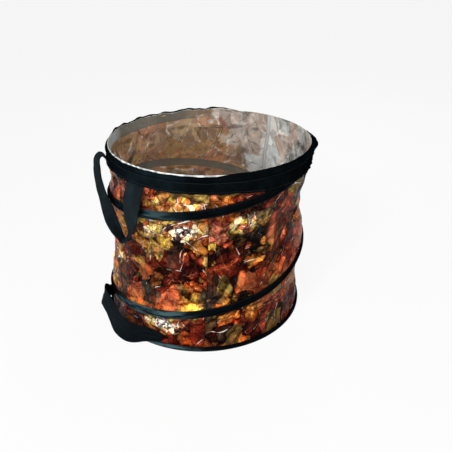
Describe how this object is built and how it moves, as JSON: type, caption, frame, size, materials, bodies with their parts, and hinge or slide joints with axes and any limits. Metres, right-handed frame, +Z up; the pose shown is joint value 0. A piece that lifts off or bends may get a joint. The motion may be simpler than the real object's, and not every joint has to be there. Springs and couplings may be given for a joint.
{
  "type": "folding garden basket",
  "caption": "Round pop-up garden basket: printed vinyl wall on a sewn-in steel coil, wire rim and base rings, carry handles and a dump handle.",
  "frame": {"origin": "centre of the base panel's underside, on the floor", "axes": "+Z up; the pictured side faces -Y; the wide handle side is at -X"},
  "size_m": [0.5311, 0.4862, 0.41],
  "materials": {
    "printed_vinyl": "glossy vinyl with a printed autumn leaf pattern",
    "clear_vinyl": "hazy vinyl seam strip",
    "black_tape": "matt black woven binding tape",
    "black_webbing": "matt black woven webbing",
    "black_fabric": "coated black fabric",
    "spring_steel": "drawn spring steel wire",
    "crimp_brass": "pressed brass ferrule"
  },
  "bodies": {
    "base": {"base_panel": "black_fabric", "base_piping": "black_tape", "base_ring": "spring_steel", "base_ferrule": "crimp_brass", "wall_panel_wide": "printed_vinyl", "wall_panel_narrow": "printed_vinyl", "seam_strip_front": "clear_vinyl", "seam_strip_back": "clear_vinyl", "coil_sleeve": "black_tape", "coil_spring": "spring_steel", "dump_handle_root_back": "black_webbing", "dump_handle_root_front": "black_webbing"},
    "rim": {"rim_band": "black_tape", "rim_ring": "spring_steel", "rim_ferrule": "crimp_brass", "handle_left_root_back": "black_webbing", "handle_left_root_front": "black_webbing", "handle_right_root_back": "black_webbing", "handle_right_root_front": "black_webbing"},
    "handle_left": {"handle_left_strap": "black_webbing"},
    "handle_right": {"handle_right_strap": "black_webbing"},
    "dump_handle": {"dump_handle_strap": "black_webbing"}
  },
  "joints": [
    {"name": "collapse", "type": "slide", "parent": "base", "child": "rim", "axis": [0, 0, 1], "range_m": [-0.33, 0], "stiffness_N_per_m": 80, "springref_m": 0.12, "deforming": ["wall_panel_wide", "wall_panel_narrow", "seam_strip_front", "seam_strip_back", "coil_sleeve", "coil_spring", "handle_left_strap", "handle_right_strap"]},
    {"name": "handle_left_swing", "type": "hinge", "parent": "rim", "child": "handle_left", "pos_m": [-0.22369, -0.08201, 0.3653], "axis": [-0.7006, 0.7074, 0.0934], "range_deg": [0, 150]},
    {"name": "handle_right_swing", "type": "hinge", "parent": "rim", "child": "handle_right", "pos_m": [0.26586, 0.08416, 0.3653], "axis": [0.6509, -0.7534, 0.0932], "range_deg": [0, 150]},
    {"name": "dump_handle_lift", "type": "hinge", "parent": "base", "child": "dump_handle", "pos_m": [-0.23845, -0.03139, 0.02411], "axis": [-0.5786, 0.8156, 0.0005], "range_deg": [0, 15]}
  ]
}
